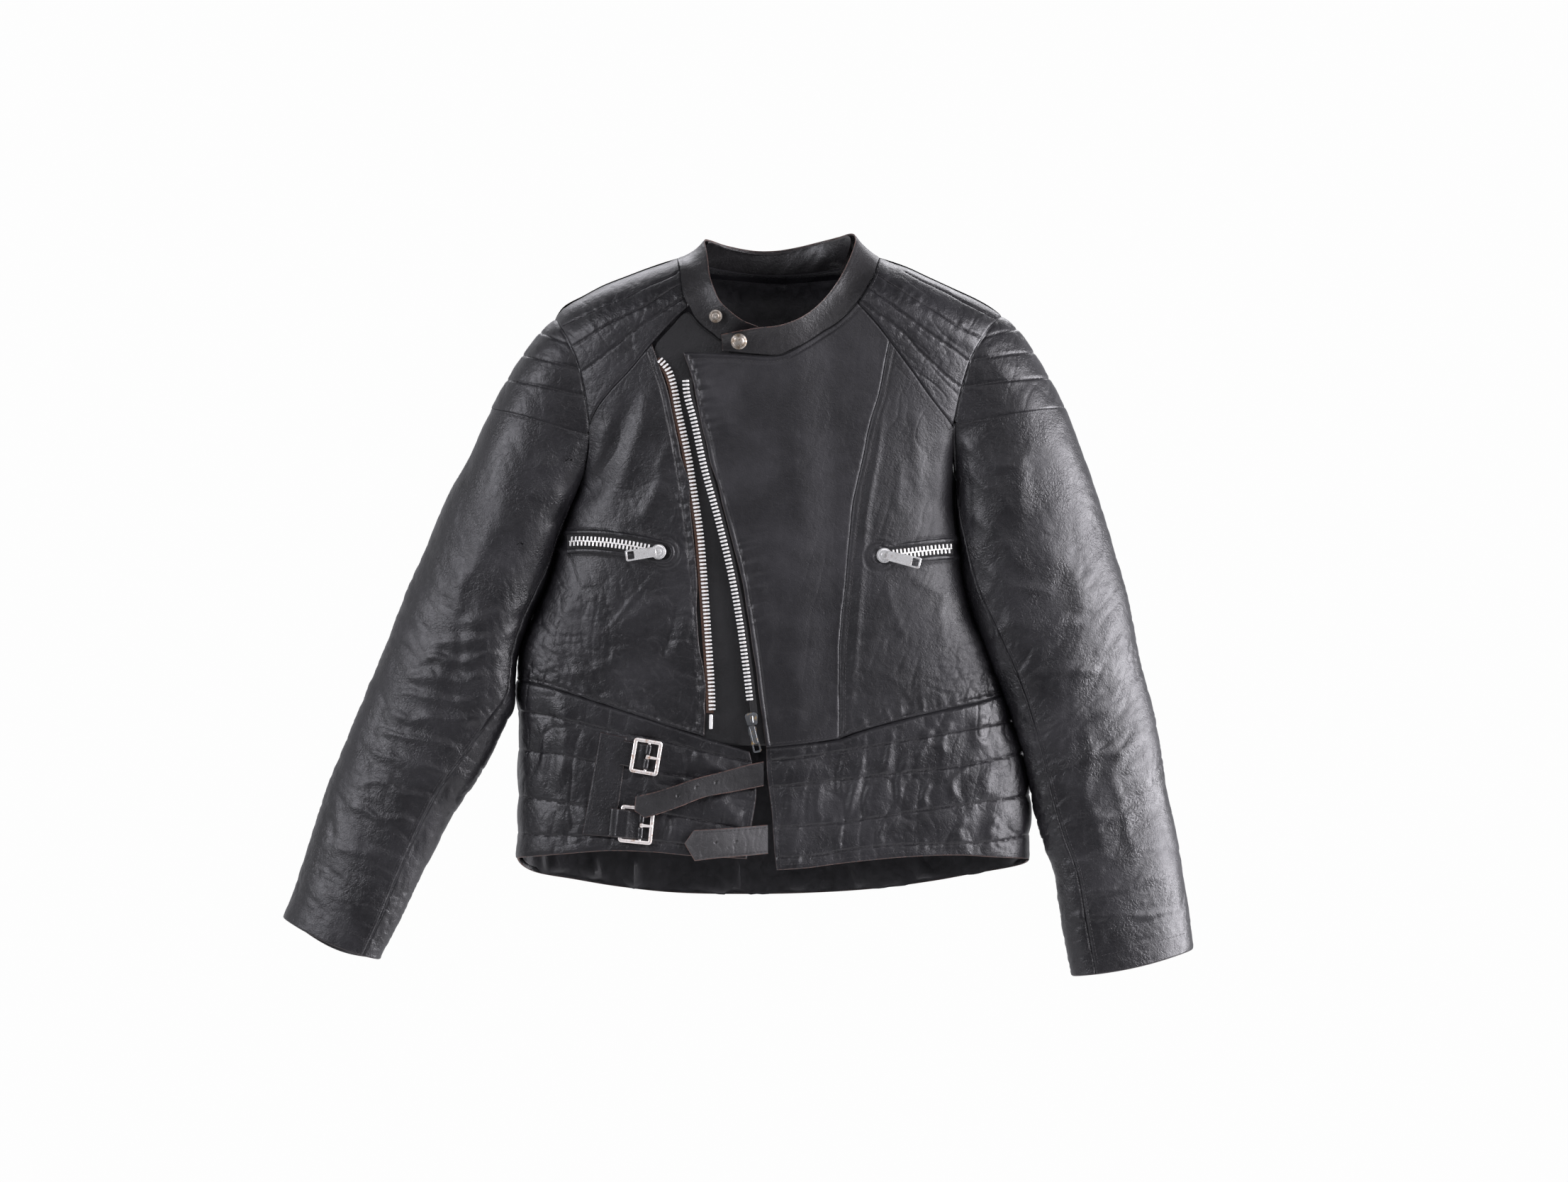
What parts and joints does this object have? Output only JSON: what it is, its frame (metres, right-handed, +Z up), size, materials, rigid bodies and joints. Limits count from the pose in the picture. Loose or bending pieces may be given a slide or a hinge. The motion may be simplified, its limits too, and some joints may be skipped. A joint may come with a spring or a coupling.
{
  "type": "leather riding jacket",
  "caption": "Black quilted leather riding jacket held up at the neck, with a slanted open front zip, stand collar with snap, zip pockets, waist straps with buckles and two sleeves.",
  "frame": {"origin": "centre of the hanger seat inside the neck, midway between the shoulders", "axes": "-Y out of the jacket's front, +X towards the wearer's left sleeve, +Z up"},
  "size_m": [0.902, 0.1438, 0.7328],
  "materials": {
    "leather": "semi-gloss, fine grain, pull-up highlights, worn edges",
    "quilted_leather": "semi-gloss, quilted over thin padding",
    "facing_leather": "satin",
    "strap_leather": "worn, raw brown edges",
    "lining": "black satin",
    "zip_tape": "woven black tape",
    "pocketing": "matt black cotton",
    "zip_metal": "bright nickel, lightly worn",
    "bright_metal": "bright nickel",
    "dark_metal": "worn dark nickel with brass showing",
    "buckle_metal": "tarnished nickel",
    "brass": "tarnished brass"
  },
  "bodies": {
    "shell": {"back_yoke": "quilted_leather", "back_panel": "leather", "back_waist_panel": "quilted_leather", "right_shoulder_yoke": "quilted_leather", "left_shoulder_yoke": "quilted_leather", "right_front_panel": "leather", "right_front_waist_panel": "quilted_leather", "right_underlap": "facing_leather", "left_side_front_panel": "leather", "left_side_waist_panel": "quilted_leather", "right_sleeve_cap": "quilted_leather", "left_sleeve_cap": "quilted_leather", "collar_band": "leather", "collar_facing": "facing_leather", "back_lining": "lining", "right_front_lining": "lining", "left_front_lining": "lining", "right_main_zip_tape": "zip_tape", "right_main_zip_teeth": "zip_metal", "right_main_zip_pin": "zip_metal", "right_pocket_zip_tape": "zip_tape", "right_pocket_zip_teeth": "zip_metal", "left_pocket_zip_tape": "zip_tape", "left_pocket_zip_teeth": "zip_metal", "right_pocket_bag": "pocketing", "left_pocket_bag": "pocketing", "buckle_patch": "leather", "upper_buckle_chape": "strap_leather", "lower_buckle_chape": "strap_leather", "upper_buckle_frame": "buckle_metal", "lower_buckle_frame": "buckle_metal", "collar_stud": "brass"},
    "left_front": {"left_front_flap": "leather", "left_front_facing": "facing_leather", "left_front_waist_panel": "quilted_leather", "collar_left_end": "leather", "left_main_zip_tape": "zip_tape", "left_main_zip_teeth": "zip_metal", "left_main_zip_box": "dark_metal", "collar_snap_cap": "brass"},
    "main_slider": {"main_zip_slider": "dark_metal"},
    "main_pull": {"main_zip_pull": "dark_metal"},
    "right_pocket_slider": {"right_pocket_slider": "bright_metal"},
    "right_pocket_pull": {"right_pocket_pull": "bright_metal"},
    "left_pocket_slider": {"left_pocket_slider": "bright_metal"},
    "left_pocket_pull": {"left_pocket_pull": "bright_metal"},
    "upper_prong": {"upper_buckle_prong": "buckle_metal"},
    "lower_prong": {"lower_buckle_prong": "buckle_metal"},
    "upper_strap": {"upper_strap": "strap_leather"},
    "lower_strap": {"lower_strap": "strap_leather"},
    "right_sleeve": {"right_sleeve_upper": "leather", "right_sleeve_under": "leather", "right_sleeve_lining": "lining"},
    "left_sleeve": {"left_sleeve_upper": "leather", "left_sleeve_under": "leather", "left_sleeve_lining": "lining"}
  },
  "joints": [
    {"name": "left_front_open", "type": "hinge", "parent": "shell", "child": "left_front", "pos_m": [0.058, -0.092, -0.3], "axis": [0, 0, 1], "range_deg": [0, 95]},
    {"name": "right_sleeve_lift", "type": "hinge", "parent": "shell", "child": "right_sleeve", "pos_m": [-0.2835, -0.012, -0.1405], "axis": [0, 1, 0], "range_deg": [0, 35]},
    {"name": "left_sleeve_lift", "type": "hinge", "parent": "shell", "child": "left_sleeve", "pos_m": [0.2845, -0.012, -0.1425], "axis": [0, -1, 0], "range_deg": [0, 35]},
    {"name": "main_zip_slide", "type": "slide", "parent": "left_front", "child": "main_slider", "axis": [-0.1374, -0.0313, 0.99], "range_m": [0, 0.14]},
    {"name": "main_pull_swing", "type": "hinge", "parent": "main_slider", "child": "main_pull", "pos_m": [-0.0256, -0.09065, -0.452], "axis": [-1, 0, 0], "range_deg": [0, 170]},
    {"name": "right_pocket_slide", "type": "slide", "parent": "shell", "child": "right_pocket_slider", "axis": [-0.9786, 0.1213, 0.1664], "range_m": [0, 0.05]},
    {"name": "right_pocket_pull_swing", "type": "hinge", "parent": "right_pocket_slider", "child": "right_pocket_pull", "pos_m": [-0.1191, -0.0904, -0.2815], "axis": [-0.1395, 0, 0.9902], "range_deg": [0, 170]},
    {"name": "left_pocket_slide", "type": "slide", "parent": "shell", "child": "left_pocket_slider", "axis": [0.9715, 0.2089, 0.1117], "range_m": [0, 0.04]},
    {"name": "left_pocket_pull_swing", "type": "hinge", "parent": "left_pocket_slider", "child": "left_pocket_pull", "pos_m": [0.1075, -0.0868, -0.285], "axis": [-0.2378, 0, -0.9713], "range_deg": [0, 170]},
    {"name": "upper_prong_swing", "type": "hinge", "parent": "shell", "child": "upper_prong", "pos_m": [-0.12782, -0.08577, -0.483], "axis": [-0.1692, 0, -0.9856], "range_deg": [0, 100]},
    {"name": "lower_prong_swing", "type": "hinge", "parent": "shell", "child": "lower_prong", "pos_m": [-0.13382, -0.08703, -0.54995], "axis": [-0.0998, 0, -0.995], "range_deg": [0, 100]},
    {"name": "upper_strap_swing", "type": "hinge", "parent": "left_front", "child": "upper_strap", "pos_m": [-0.0136, -0.0836, -0.4995], "axis": [0, 0, 1], "range_deg": [0, 80]},
    {"name": "lower_strap_swing", "type": "hinge", "parent": "left_front", "child": "lower_strap", "pos_m": [-0.0091, -0.0858, -0.5635], "axis": [0, 0, 1], "range_deg": [0, 80]}
  ]
}
